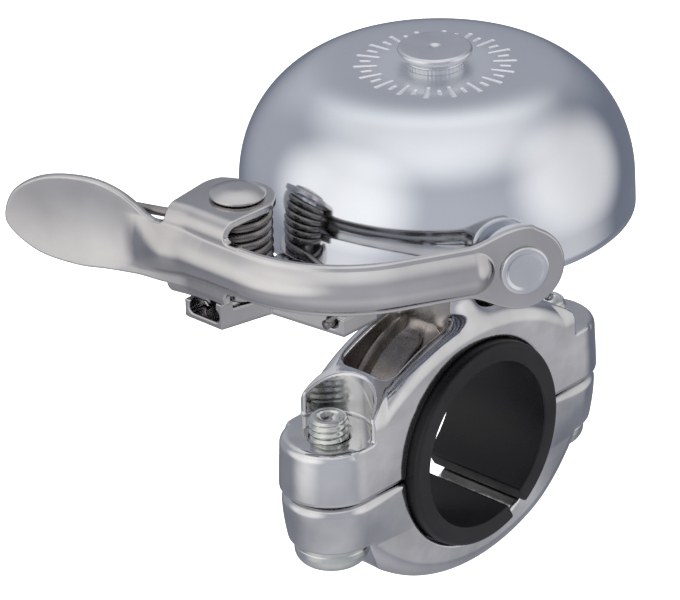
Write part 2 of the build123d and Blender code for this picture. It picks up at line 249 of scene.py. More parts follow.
def outline_distance(x, y, points):
    """Signed distance to a closed outline, negative inside."""
    distance = np.inf
    inside = False
    for (x0, y0), (x1, y1) in zip(points, points[1:] + points[:1]):
        distance = np.minimum(distance, segment_distance(x, y, (x0, y0), (x1, y1)))
        if y0 != y1:
            over = ((y0 > y) != (y1 > y)) & (x < (x1 - x0) * (y - y0) / (y1 - y0) + x0)
            inside = inside ^ over
    return np.where(inside, -distance, distance)


def smooth_outline(points, steps=8):
    """Closed curve through the points."""
    curve = []
    count = len(points)
    for i in range(count):
        a, b, c, d = (np.array(points[(i + k) % count], float) for k in (-1, 0, 1, 2))
        for k in range(steps):
            t = k / steps
            curve.append(tuple(
                0.5 * (2 * b + (c - a) * t + (2 * a - 5 * b + 4 * c - d) * t ** 2
                       + (3 * b - a - 3 * c + d) * t ** 3)
            ))
    return curve


def looked_up(shape, u_range, v_range, step=0.12):
    """A flat shape's field, worked out once on a grid and read between its points."""
    u_axis = np.arange(u_range[0], u_range[1], step)
    v_axis = np.arange(v_range[0], v_range[1], step)
    u_grid, v_grid = np.meshgrid(u_axis, v_axis, indexing="ij")
    table = shape(u_grid, v_grid).astype(np.float32)

    def field(u, v):
        fu = np.clip((u - u_range[0]) / step, 0, len(u_axis) - 1.001)
        fv = np.clip((v - v_range[0]) / step, 0, len(v_axis) - 1.001)
        iu = fu.astype(np.int32)
        iv = fv.astype(np.int32)
        fu = fu - iu
        fv = fv - iv
        low = table[iu, iv] * (1 - fu) + table[iu + 1, iv] * fu
        high = table[iu, iv + 1] * (1 - fu) + table[iu + 1, iv + 1] * fu
        return low * (1 - fv) + high * fv

    return field


# ---- turned pieces -------------------------------------------
def rounded_profile(corners, steps=5):
    """Half section from corners (radius, height, rounding), each corner turned to an arc."""
    profile = []
    last = len(corners) - 1
    for i, (r, z, rounding) in enumerate(corners):
        here = np.array([r, z], float)
        if i in (0, last) or rounding == 0:
            profile.append(tuple(here))
            continue
        before = np.array(corners[i - 1][:2], float) - here
        after = np.array(corners[i + 1][:2], float) - here
        reach = min(rounding, np.linalg.norm(before) * 0.49, np.linalg.norm(after) * 0.49)
        start = here + before / np.linalg.norm(before) * reach
        end = here + after / np.linalg.norm(after) * reach
        for k in range(steps + 1):
            t = k / steps
            profile.append(tuple((1 - t) ** 2 * start + 2 * t * (1 - t) * here + t * t * end))
    return profile


def turned(name, profile, segments=128, ripple=None):
    """Closed mesh turned about Z from a half section that starts and ends on the axis.

    ripple(r, z, angle) moves the radius in or out, for knurls.
    """
    inner = [point for point in profile if point[0] > 1e-6]
    angles = np.arange(segments) * tau / segments
    rows = []
    for r, z in inner:
        radius = np.full(segments, r)
        if ripple is not None:
            radius = radius + ripple(r, z, angles)
        rows.append(np.stack([radius * np.cos(angles), radius * np.sin(angles), np.full(segments, z)], 1))
    points = np.concatenate(rows)
    faces = [face[::-1] for face in grid_faces(len(inner), segments)]
    first, last = len(points), len(points) + 1
    points = np.concatenate([points, [[0, 0, profile[0][1]], [0, 0, profile[-1][1]]]])
    base = (len(inner) - 1) * segments
    for k in range(segments):
        after = (k + 1) % segments
        faces.append((first, k, after))
        faces.append((last, base + after, base + k))
    return mesh_object(name, points, faces)


def tube(name, path, radius, sides=14):
    """Round wire along a list of points, closed at both ends."""
    path = np.array(path, float)
    direction = np.gradient(path, axis=0)
    direction /= np.linalg.norm(direction, axis=1)[:, None]
    side = np.cross(direction[0], [0.3, 0.2, 1.0])
    rows = []
    for point, along in zip(path, direction):
        side = side - along * side.dot(along)
        side /= np.linalg.norm(side)
        up = np.cross(along, side)
        for k in range(sides):
            angle = tau * k / sides
            rows.append(point + radius * (cos(angle) * side + sin(angle) * up))
    points = np.array(rows)
    ends = np.array([path[0] - direction[0] * radius * 0.25, path[-1] + direction[-1] * radius * 0.25])
    faces = grid_faces(len(path), sides)
    first, base = len(points), (len(path) - 1) * sides
    points = np.concatenate([points, ends])
    for k in range(sides):
        after = (k + 1) % sides
        faces.append((first, after, k))
        faces.append((first + 1, base + k, base + after))
    return mesh_object(name, points, faces)


# ---- materials -----------------------------------------------
def add_node(tree, kind, inputs, **settings):
    """Shader node with its settings and inputs; an input that is a socket is linked."""
    node = tree.nodes.new("ShaderNode" + kind)
    for name, value in settings.items():
        setattr(node, name, value)
    for name, value in inputs.items():
        if isinstance(value, bpy.types.NodeSocket):
            tree.links.new(value, node.inputs[name])
        else:
            node.inputs[name].default_value = value
    return node


NOISE_SPAN = (0.3, 0.7)         # the part of a noise's range that a ramp or a spread uses


class Paint:
    """Principled material, detailed by noise on the piece's own coordinates, which are metres."""

    def __init__(self, name, colour, metallic, roughness):
        self.material = bpy.data.materials.new(name)
        self.material.use_nodes = True
        self.tree = self.material.node_tree
        self.shader = self.tree.nodes["Principled BSDF"].inputs
        self.shader["Base Color"].default_value = (*colour, 1)
        self.shader["Metallic"].default_value = metallic
        self.shader["Roughness"].default_value = roughness
        self.place = add_node(self.tree, "TexCoord", {}).outputs["Object"]
        self.bumped = {}

    def noise(self, scale, detail, place=None):
        """Noise value, on the piece's own coordinates unless others are given."""
        place = self.place if place is None else place
        texture = add_node(self.tree, "TexNoise", {"Vector": place, "Scale": scale, "Detail": detail})
        return texture.outputs["Fac"]

    def colour(self, value, low, high):
        """Base colour that runs between two colours with a noise value."""
        ramp = add_node(self.tree, "ValToRGB", {"Fac": value})
        for element, position, shade in zip(ramp.color_ramp.elements, NOISE_SPAN, (low, high)):
            element.position = position
            element.color = (*shade, 1)
        self.tree.links.new(ramp.outputs["Color"], self.shader["Base Color"])

    def spread(self, value, low, high):
        """A noise value mapped onto low to high."""
        span = {"From Min": NOISE_SPAN[0], "From Max": NOISE_SPAN[1], "To Min": low, "To Max": high}
        return add_node(self.tree, "MapRange", {"Value": value, **span}).outputs["Result"]

    def roughness(self, value):
        self.tree.links.new(value, self.shader["Roughness"])

    def bump(self, value, depth):
        """Bump of a real depth in metres, on top of the bumps given before it."""
        inputs = {"Strength": 1.0, "Distance": depth, "Height": value, **self.bumped}
        self.bumped = {"Normal": add_node(self.tree, "Bump", inputs).outputs["Normal"]}
        self.tree.links.new(self.bumped["Normal"], self.shader["Normal"])


def metal(name, dark, light, rough, wave_scale, wave_depth, grain_scale, grain_depth):
    """Bare metal: a little colour change, uneven polish, slow waves and a fine grain."""
    paint = Paint(name, light, 1.0, rough[0])
    cloud = paint.noise(wave_scale, 3.0)
    grain = paint.noise(grain_scale, 6.0)
    paint.colour(cloud, dark, light)
    paint.roughness(paint.spread(grain, *rough))
    paint.bump(cloud, wave_depth)
    paint.bump(grain, grain_depth)
    return paint.material


SATIN_RADII = (0.007, 0.013)    # metres from the gong's axis over which its satin middle fades
SATIN_ROUGHNESS = 0.28


def gong_metal():
    """Polished aluminium with the faint rings that turning leaves, satin round the nut."""
    paint = Paint("gong_metal", (0.80, 0.82, 0.86), 1.0, 0.13)
    tree = paint.tree
    flat = add_node(tree, "VectorMath", {0: paint.place, 1: (1, 1, 0)}, operation="MULTIPLY")
    radius = add_node(tree, "VectorMath", {0: flat.outputs["Vector"]}, operation="LENGTH").outputs["Value"]
    height = add_node(tree, "SeparateXYZ", {"Vector": paint.place}).outputs["Z"]
    rings = add_node(tree, "CombineXYZ", {"X": radius, "Y": height}).outputs["Vector"]
    turned_lines = paint.noise(9000.0, 3.0, rings)
    cloud = paint.noise(40.0, 3.0)
    paint.colour(cloud, (0.76, 0.785, 0.825), (0.82, 0.84, 0.87))
    fade = {
        "Value": radius, "From Min": SATIN_RADII[0], "From Max": SATIN_RADII[1],
        "To Min": SATIN_ROUGHNESS, "To Max": 0.0,
    }
    satin = add_node(tree, "MapRange", fade, interpolation_type="SMOOTHSTEP").outputs["Result"]
    polish = paint.spread(turned_lines, 0.05, 0.10)
    paint.roughness(add_node(tree, "Math", {0: polish, 1: satin}, operation="ADD").outputs["Value"])
    paint.bump(turned_lines, 0.0000004)
    paint.bump(cloud, 0.00001)
    return paint.material


def engraved_metal():
    """Bright frosted bottom of the engraved marks."""
    paint = Paint("engraved_metal", (0.93, 0.94, 0.95), 1.0, 0.45)
    grain = paint.noise(6000.0, 2.0)
    paint.colour(grain, (0.86, 0.87, 0.88), (0.97, 0.97, 0.98))
    paint.bump(grain, 0.00001)
    return paint.material


def black_rubber():
    """Moulded matt rubber."""
    paint = Paint("black_rubber", (0.02, 0.02, 0.022), 0.0, 0.42)
    paint.shader["Specular IOR Level"].default_value = 0.3
    cloud = paint.noise(120.0, 3.0)
    paint.colour(cloud, (0.005, 0.0045, 0.006), (0.013, 0.012, 0.014))
    paint.roughness(paint.spread(cloud, 0.36, 0.50))
    paint.bump(paint.noise(4500.0, 3.0), 0.00002)
    return paint.material


def black_plastic():
    """Plain moulded plastic of the gong's seat."""
    paint = Paint("black_plastic", (0.03, 0.03, 0.03), 0.0, 0.35)
    grain = paint.noise(2500.0, 3.0)
    paint.colour(grain, (0.02, 0.02, 0.02), (0.035, 0.035, 0.035))
    paint.bump(grain, 0.00001)
    return paint.material


def zinc_steel():
    """Zinc plate with its faint yellow and green cast."""
    paint = Paint("zinc_steel", (0.76, 0.77, 0.73), 1.0, 0.16)
    grain = paint.noise(3500.0, 4.0)
    paint.colour(paint.noise(260.0, 3.0), (0.62, 0.66, 0.60), (0.82, 0.80, 0.78))
    paint.roughness(paint.spread(grain, 0.10, 0.20))
    paint.bump(grain, 0.000001)
    return paint.material


# dark and light colour, span of roughness, scale and depth of the waves, scale and depth of the grain
METALS = {
    "turned_metal": ((0.68, 0.69, 0.71), (0.78, 0.79, 0.81), (0.16, 0.26), 150, 0.00001, 5000, 0.000001),
    "stamped_steel": ((0.50, 0.485, 0.48), (0.68, 0.665, 0.655), (0.09, 0.19), 60, 0.00008, 1800, 0.000002),
    "spring_steel": ((0.20, 0.19, 0.18), (0.36, 0.34, 0.33), (0.22, 0.36), 300, 0.00001, 4000, 0.000002),
    "cast_aluminium": ((0.56, 0.557, 0.56), (0.78, 0.775, 0.775), (0.06, 0.14), 95, 0.00013, 2500, 0.000002),
}
# painted shade: the clamp's pockets get a darker, browner metal that stands in for the shade inside these
# recesses
POCKET_SHADE_PAINT = ((0.26, 0.23, 0.205), (0.54, 0.50, 0.47), (0.24, 0.36), 160, 0.00006, 2500, 0.000002)
MATERIALS = {name: metal(name, *look) for name, look in METALS.items()}
for make in (gong_metal, black_rubber, black_plastic, zinc_steel):
    MATERIALS[make.__name__] = make()
SLOT_OF_NODE = {part["node"]: part["material_slot"] for part in frame["record"]["subparts"]}


def finished(piece, node, body):
    """Give a piece its material, its slot and its body, and let it stand for its CAD node."""
    slot = SLOT_OF_NODE[node]
    piece.data.materials.append(MATERIALS[slot])
    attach(piece, body)
    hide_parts(node)
    return piece


def second_material(piece, material, flagged, least):
    """Give a second material to the faces that have at least so many flagged corners."""
    piece.data.materials.append(material)
    for face in piece.data.polygons:
        if sum(flagged[corner] for corner in face.vertices) >= least:
            face.material_index = 1


# ---- gong ----------------------------------------------------
dome_low, dome_high = node_box("bell_dome")
DOME_R = dome_high[0]
RIM_Z = dome_low[2]
DOME_TOP_Z = dome_high[2]
DOME_WALL = 1.2
NUT_TOP_Z = node_box("dome_nut")[1][2]
NUT_SINK = 0.45                 # the visual nut is this much lower than the CAD's
SHOULDER_POWER = 3.2            # how square the gong's shoulder is
CROWN_BLEND = 1.6               # height over which the shoulder eases into the flat top
WAIST_INSET = 0.09              # how much the wall leans in above the rim
WAIST_Z = RIM_Z + 3.7           # where the shoulder begins
SHOULDER_RISE = 19.2
CROWN_R = 13.0                  # inside this, rows are close enough to carry the marks
HOLE_R = 2.15
MARK_COUNT = 36
MARK_STEPS = 16                 # mesh segments from one mark to the next
MARK_RANGE = (8.3, 11.6)        # radii between which the long marks are engraved
MARK_SHORTER = 0.9              # how much a short mark loses at each end
MARK_DEPTH = 0.10


def dome_height(r, inset):
    """Height of the gong's surface at a radius: a full shoulder eased into a flat top."""
    waist_r = DOME_R - WAIST_INSET - inset
    share = np.minimum(r / waist_r, 1) ** SHOULDER_POWER
    shoulder = WAIST_Z + (SHOULDER_RISE - 0.9 * inset) * np.sqrt(1 - share)
    top = DOME_TOP_Z - inset
    ease = np.maximum(CROWN_BLEND - np.abs(shoulder - top), 0) ** 2 / (4 * CROWN_BLEND)
    return np.minimum(shoulder, top) - ease


def dome_section(inset, rows):
    """Half section of the gong's surface, from the rim over the shoulder to the hole."""
    waist_r = DOME_R - WAIST_INSET - inset
    section = [(DOME_R - inset, RIM_Z + 0.15), (DOME_R - inset - 0.02, RIM_Z + 1.2)]
    for k in range(rows):
        r = waist_r * cos(pi / 2 * k / rows) ** (2 / SHOULDER_POWER)
        if r > CROWN_R:
            section.append((r, float(dome_height(r, inset))))
    crown_step = 0.14 if inset == 0 else 0.5
    for r in np.arange(CROWN_R - 0.2, HOLE_R, -crown_step):
        section.append((float(r), float(dome_height(r, inset))))
    return section


def dome_profile():
    """Closed section: up the inside to the hole, then over the outside down to the rim."""
    outer = dome_section(0, 84)
    inner = dome_section(DOME_WALL, 42)
    rim = [(DOME_R - 0.15, RIM_Z), (DOME_R - DOME_WALL + 0.15, RIM_Z)]
    return inner[::-1] + rim[::-1] + outer


def bell_dome():
    """Gong with a ring of plain marks, long and short by turns, sunk into its flat top."""
    profile = dome_profile()
    r = np.array([point[0] for point in profile])
    z = np.array([point[1] for point in profile])
    segments = MARK_COUNT * MARK_STEPS
    columns = np.arange(segments)
    angles = columns * tau / segments
    phase = columns % MARK_STEPS - MARK_STEPS // 2
    shorter = MARK_SHORTER * (columns // MARK_STEPS % 2)
    start = MARK_RANGE[0] + shorter
    end = MARK_RANGE[1] - shorter
    on_top = (z > DOME_TOP_Z - 0.5 * DOME_WALL)[:, None]
    radial = (r[:, None] > start) & (r[:, None] < end)
    marked = on_top & radial & (np.abs(phase) <= 2)[None, :]
    heights = z[:, None] - MARK_DEPTH * marked
    points = np.stack([r[:, None] * np.cos(angles), r[:, None] * np.sin(angles), heights], -1)
    faces = grid_faces(len(profile), segments)
    closing = (len(profile) - 1) * segments
    for k in range(segments):
        after = (k + 1) % segments
        faces.append((closing + k, closing + after, after, k))
    piece = mesh_object("bell_dome_shell", points.reshape(-1, 3), faces)
    finished(piece, "bell_dome", "frame")
    second_material(piece, engraved_metal(), marked.reshape(-1), 2)
    return piece


def dome_nut():
    """Cap nut: dimpled flat top, bevelled side, groove, and a finely knurled foot."""
    bottom = DOME_TOP_Z
    top = NUT_TOP_Z - NUT_SINK
    foot_r = 4.3
    corners = [
        (0, bottom, 0), (foot_r, bottom, 0.1), (4.35, bottom + 0.95, 0.15), (4.1, bottom + 1.15, 0.15),
        (5.25, bottom + 1.65, 0.3), (5.43, bottom + 2.4, 0.4), (5.05, top, 0.35), (0.9, top, 0.2),
        (0.5, top - 0.22, 0.3), (0, top - 0.3, 0),
    ]
    knurl_top = bottom + 0.85

    def ripple(r, z, angle):
        if not bottom + 0.02 < z < knurl_top or r < 4:
            return 0 * angle
        return -0.05 * (0.5 + 0.5 * np.cos(48 * angle))

    profile = rounded_profile(corners)
    foot = [point for point in profile if point[1] <= bottom + 0.1 and point[0] > 4]
    start = profile.index(foot[-1]) + 1
    knurled = [(foot_r + 0.04 * k / 6, bottom + 0.15 + 0.65 * k / 6) for k in range(7)]
    profile = profile[:start] + knurled + profile[start:]
    piece = turned("dome_nut_knurled", profile, 288, ripple)
    return finished(piece, "dome_nut", "frame")


HEX_R = 5.2                     # from the axis to a corner of the post's hexagon
HEX_HEIGHT = 4.0


def dome_post():
    """Turned post with a bevelled hexagon low down and a flange under the seat."""
    low, high = node_box("dome_post")
    washer_z = node_box("post_washer")[1][2]
    seat_z = node_box("dome_seat")[0][2]

    def field(x, y, z):
        angle = pi / 3
        hexagon = np.maximum(np.abs(y), np.abs(cos(angle) * y + sin(angle) * x))
        hexagon = np.maximum(hexagon, np.abs(cos(angle) * y - sin(angle) * x)) - HEX_R * cos(pi / 6)
        r = np.hypot(x, y)
        nut = meet(hexagon, slab(z, washer_z, washer_z + HEX_HEIGHT), 0.15)
        nut = np.maximum(nut, (r + np.abs(z - washer_z - HEX_HEIGHT / 2) * 1.2) - 7.0)
        column = meet(r - 3.5, slab(z, low[2] + 1, seat_z), 0.3)
        flange = meet(r - 5.0, slab(z, seat_z - 1.2, seat_z), 0.25)
        stud = meet(r - 1.95, slab(z, seat_z - 1, high[2]), 0.3)
        shank = meet(r - 2.45, slab(z, low[2], washer_z + 1), 0.3)
        body = join(np.maximum(column, washer_z + 1 - z), flange, 0.5)
        return np.minimum(np.minimum(body, nut), np.minimum(stud, shank))

    piece = solid("dome_post_turned", field, low, high, 0.22)
    return finished(piece, "dome_post", "frame")


# ---- pivot ---------------------------------------------------
PIN = node_middle("pivot_pin")[:2]
SPRING_HIGH = node_box("torsion_spring")[1]
BRACKET_LOW, BRACKET_HIGH = node_box("bracket")
LEVER_LOW, LEVER_HIGH = node_box("lever")
FLAP_TOP_Z = node_box("pivot_bush")[1][2] - 0.1
FLAP_BOTTOM_Z = node_box("pivot_bush")[0][2] + 0.1


def pivot_pin():
    """Rivet with a low crowned head, its shank, and the button closed under the bracket."""
    low, high = node_box("pivot_pin")
    head_z = FLAP_TOP_Z + 0.1
    corners = [
        (0, low[2], 0), (2.5, low[2], 0.5), (3.0, low[2] + 0.5, 0.4), (3.0, BRACKET_LOW[2], 0.05),
        (2.0, BRACKET_LOW[2], 0.05), (2.0, head_z, 0.05), (3.8, head_z, 0.15), (4.05, head_z + 0.3, 0.15),
        (4.0, head_z + 0.55, 0.25), (2.9, high[2] - 0.38, 0.8), (1.5, high[2] - 0.02, 1.2), (0, high[2], 0),
    ]
    piece = turned("pivot_pin_rivet", rounded_profile(corners, 8), 128)
    piece.data.transform(Matrix.Translation((PIN[0] * MM, PIN[1] * MM, 0)))
    return finished(piece, "pivot_pin", "frame")


WIRE_R = 0.70
COIL_R = 4.15
COIL_LOW_Z = 37.67
COIL_HIGH_Z = SPRING_HIGH[2] - 0.72
COIL_TURNS = 6                  # whole turns, before the part turn that the legs add
HOOK_X = SPRING_HIGH[0] - 0.72
HOOK_END_Y = -34.8
HOOK_Z = 33.7
UPPER_KNEE = (-12.2, -41.5)     # where the upper leg turns to lie along the lever
UPPER_END = (-18.4, -42.9)


def eased_corner(before, corner, after, steps=8):
    """Points that turn smoothly from one run into the next."""
    before, corner, after = (np.array(point, float) for point in (before, corner, after))
    shares = np.linspace(0, 1, steps + 1)[:, None]
    return (1 - shares) ** 2 * before + 2 * shares * (1 - shares) * corner + shares ** 2 * after


def straight(start, end, step=0.5):
    """Points along a straight run, both ends included."""
    start, end = np.array(start, float), np.array(end, float)
    count = max(2, round(np.linalg.norm(end - start) / step))
    return start + (end - start) * np.linspace(0, 1, count + 1)[:, None]


def torsion_spring():
    """Close-wound helix; its lower leg hooks into the bracket, its upper leg lies on the lever."""
    knee = np.array([*UPPER_KNEE, COIL_HIGH_Z - 0.2])
    end = np.array([*UPPER_END, COIL_HIGH_Z - 0.5])
    reach = knee[:2] - PIN
    leave = atan2(reach[1], reach[0]) + tau - np.arccos(COIL_R / np.hypot(*reach))
    turns = COIL_TURNS + (leave - pi / 2) / tau

    low_y = PIN[1] + COIL_R
    corner = np.array([HOOK_X, low_y, HOOK_Z])
    ramp_end = np.array([PIN[0] + 4.4, low_y, COIL_LOW_Z - 0.15])
    along_ramp = (ramp_end - corner) / np.linalg.norm(ramp_end - corner)
    hook = straight((HOOK_X, HOOK_END_Y, HOOK_Z), corner - np.array([0, 1.2, 0]))
    hook_bend = eased_corner(hook[-1], corner, corner + along_ramp * 1.2)
    ramp_run = straight(hook_bend[-1], ramp_end)
    coil_start = np.array([PIN[0], low_y, COIL_LOW_Z])
    into_coil = eased_corner(ramp_end, (PIN[0] + 2.2, low_y, COIL_LOW_Z), coil_start)

    angle = np.linspace(pi / 2, pi / 2 + tau * turns, round(turns * 60) + 1)
    height = np.linspace(COIL_LOW_Z, COIL_HIGH_Z, len(angle))
    coil = np.stack([PIN[0] + COIL_R * np.cos(angle), PIN[1] + COIL_R * np.sin(angle), height], 1)
    to_knee = (knee - coil[-1]) / np.linalg.norm(knee - coil[-1])
    to_end = (end - knee) / np.linalg.norm(end - knee)
    leg = straight(coil[-1], knee - to_knee * 1.4)
    leg_bend = eased_corner(leg[-1], knee, knee + to_end * 1.4)
    rest = straight(leg_bend[-1], end)
    runs = [hook, hook_bend, ramp_run, into_coil, coil, leg, leg_bend, rest]
    path = np.concatenate([runs[0]] + [run[1:] for run in runs[1:]])
    piece = tube("torsion_spring_wound", path, WIRE_R)
    piece.data.materials.append(MATERIALS["spring_steel"])
    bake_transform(piece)
    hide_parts("torsion_spring")
    return piece


# ---- bracket -------------------------------------------------
BRACKET_SHEET = 1.2
BRACKET_WALL_TOP = BRACKET_HIGH[2]
BRACKET_LOW_TOP = BRACKET_WALL_TOP - 1.2    # top of the wall where the lever passes over it
MOUTH_Y = BRACKET_LOW[1]
MOUTH_SPAN_X = (-8.6, -2.9)
MOUTH_HEIGHT = 1.9
LOW_WALL = 2.2                  # height of the pan's wall round the post


def bracket():
    """Pressed pan: rounded bottom edges, slotted end, side tab holed for the spring's leg."""
    floor_z = BRACKET_LOW[2]
    outline = [
        (-9.4, MOUTH_Y), (-2.4, MOUTH_Y), (-0.4, -34.6), (12.2, -33.3), (12.2, -26.6),
        (6.9, -2.0), (-6.9, -2.0), (-9.4, -30.0),
    ]

    def field(x, y, z):
        plan = join(outline_distance(x, y, outline), np.hypot(x, y) - 6.95, 2.0)
        outer = meet(plan, floor_z - z, 0.8)
        inner = meet(plan + BRACKET_SHEET, floor_z + BRACKET_SHEET - z, 0.8)
        corner = (x > -3.4) & (y < MOUTH_Y + 2.0)
        wall_top = np.where(corner, BRACKET_WALL_TOP, BRACKET_LOW_TOP)
        wall_top = wall_top - (BRACKET_LOW_TOP - floor_z - LOW_WALL) * eased(y, -16, -12)
        pan = meet(cut(outer, inner, 0.25), z - wall_top, 0.25)
        sill_z = floor_z + BRACKET_SHEET
        mouth = meet(slab(x, *MOUTH_SPAN_X), slab(z, sill_z, sill_z + MOUTH_HEIGHT), 0.8)
        mouth = np.maximum(mouth, y - MOUTH_Y - 3)
        pan = cut(pan, mouth, 0.25)
        pan = cut(pan, np.hypot(x, y) - 2.6, 0.2)
        pan = cut(pan, upright(x, y, PIN, 2.02), 0.15)
        leg = np.maximum(np.hypot(x - HOOK_X, z - HOOK_Z) - 0.98, y + 31)
        return cut(pan, leg, 0.2)

    piece = solid("bracket_pan", field, BRACKET_LOW, BRACKET_HIGH, 0.17)
    return finished(piece, "bracket", "frame")


# ---- lever ---------------------------------------------------
striker_middle = node_middle("striker")
EAR_ANGLE = atan2(striker_middle[1], striker_middle[0])
SHEET = 1.3
EAR_DEPTH = SHEET + 1.5         # from the ear's face to the middle of the striker
EAR_NORMAL = np.array([cos(EAR_ANGLE), sin(EAR_ANGLE)])
EAR_ALONG = np.array([-sin(EAR_ANGLE), cos(EAR_ANGLE)])
EAR_FACE = striker_middle[:2] + EAR_NORMAL * EAR_DEPTH
EAR_Z = striker_middle[2]
EAR_R = 6.1
WALL_Y = PIN[1] - 8.3           # outer face of the lever beside the pivot
ARM_Z = 42.3
ARM_HALF = 3.8                  # half the width of the arm's strip
NECK = np.array([-16.2, WALL_Y - 1.5])
PADDLE_ANGLE = radians(17)
RIB_BULGE = 2.0                 # how far the arm's rib stands out
RIB_HALF = 3.2
PADDLE_DISH = 0.6               # depth of the thumb's hollow
DISH_MIDDLE = (-9.8, 1.2)       # its middle, from the neck along the sheet and up from the arm
DISH_HALF = (12.0, 7.6)
FLAP_R = 5.3
FLAP_SHEET = 1.2
FLAP_BEND_R = 2.4
FLAP_BEND_MIDDLE_R = FLAP_BEND_R - FLAP_SHEET / 2
FORK_MIDDLE_Z = (FLAP_TOP_Z + FLAP_BOTTOM_Z) / 2
FORK_HALF = (FLAP_TOP_Z - FLAP_BOTTOM_Z) / 2


def rounded_run(points, radii):
    """Straight runs joined by arcs, as (kind, start length, numbers) from end to end."""
    points = [np.array(point, float) for point in points]
    runs = []
    length = 0.0
    here = points[0]
    for corner, after, radius in zip(points[1:-1], points[2:], radii):
        into = corner - here
        into /= np.linalg.norm(into)
        out = after - corner
        out /= np.linalg.norm(out)
        turn = atan2(into[0] * out[1] - into[1] * out[0], into.dot(out))
        reach = radius * abs(np.tan(turn / 2))
        start = corner - into * reach
        runs.append(("line", length, here, into, np.linalg.norm(start - here)))
        length += np.linalg.norm(start - here)
        side = 1 if turn > 0 else -1
        centre = start + side * radius * np.array([-into[1], into[0]])
        first = atan2(start[1] - centre[1], start[0] - centre[0])
        runs.append(("arc", length, centre, (radius, first, side), radius * abs(turn)))
        length += radius * abs(turn)
        here = corner + out * reach
    along = points[-1] - here
    size = np.linalg.norm(along)
    runs.append(("line", length, here, along / size, size))
    return runs


def along_run(runs, x, y):
    """Length along the run and distance out from it, to its right, for points in plan."""
    best = length = offset = None
    for number, (kind, start, place, data, size) in enumerate(runs):
        dx, dy = x - place[0], y - place[1]
        if kind == "line":
            run = dx * data[0] + dy * data[1]
            out = dx * data[1] - dy * data[0]
        else:
            radius, first, side = data
            angle = (np.arctan2(dy, dx) - first) * side
            run = radius * ((angle + pi) % tau - pi)
            out = side * (np.hypot(dx, dy) - radius)
        low = -1e9 if number == 0 else 0.0
        high = 1e9 if number == len(runs) - 1 else size
        miss = np.maximum(low - run, run - high)
        score = np.maximum(miss, 0) * 50 + np.abs(out)
        if best is None:
            best, length, offset = score, start + run, out
        else:
            nearer = score < best
            best = np.where(nearer, score, best)
            length = np.where(nearer, start + run, length)
            offset = np.where(nearer, out, offset)
    return length, offset


paddle_tip = NECK - 30 * np.array([cos(PADDLE_ANGLE), sin(PADDLE_ANGLE)])
arm_corner = EAR_FACE - EAR_ALONG * (EAR_FACE[1] - WALL_Y) / EAR_ALONG[1]
LEVER_RUN = rounded_run(
    [paddle_tip, NECK, (-8.5, WALL_Y), arm_corner, EAR_FACE + 12 * EAR_ALONG], [6.0, 10.0, 21.5]
)
NECK_U = 30.0                   # length along the sheet at which the paddle turns into the arm
EAR_U = float(along_run(LEVER_RUN, EAR_FACE[0], EAR_FACE[1])[0])
PIN_U = float(along_run(LEVER_RUN, PIN[0], WALL_Y)[0])


def blade_outline(u, z):
    """The lever's sheet laid flat: thumb paddle, narrow arm, round ear."""
    z_pad = ARM_Z - 0.5
    paddle = smooth_outline([
        (NECK_U + s, z_pad + h) for s, h in (
            (2.4, 4.3), (-2.6, 7.5), (-7.8, 8.6), (-14.4, 7.7), (-19.2, 4.8), (-20.9, 0.9),
            (-19.9, -1.7), (-15.6, -4.4), (-9.6, -5.3), (-4.4, -5.0), (0.6, -4.9), (4.6, -5.0),
            (8.0, -4.6), (8.4, 0),
        )
    ])
    paddle = outline_distance(u, z, paddle)
    strip = np.maximum(np.abs(z - ARM_Z) - ARM_HALF, slab(u, NECK_U - 1, EAR_U))
    ear = np.hypot(u - EAR_U, z - EAR_Z) - EAR_R
    return join(join(paddle, strip, 0.6), ear, 3.0)


def fork_outline(u, v):
    """The fork laid flat about the pin: two round flaps on a wall, filleted to the arm.

    v is the developed height from the middle of the fork.
    """
    pin_v = FORK_HALF - FLAP_BEND_R + FLAP_BEND_MIDDLE_R * pi / 2 + (PIN[1] - WALL_Y - FLAP_BEND_R)
    x = u - PIN_U
    height = np.abs(v)
    wall = [(-6.2, 0), (4.7, 0), (FLAP_R, pin_v), (-FLAP_R, pin_v)]
    flap = np.minimum(outline_distance(x, height, wall), np.hypot(x, height - pin_v) - FLAP_R)
    strip = np.maximum(np.abs(v + FORK_MIDDLE_Z - ARM_Z) - ARM_HALF, np.abs(x) - 14)
    return join(flap, strip, 1.0)


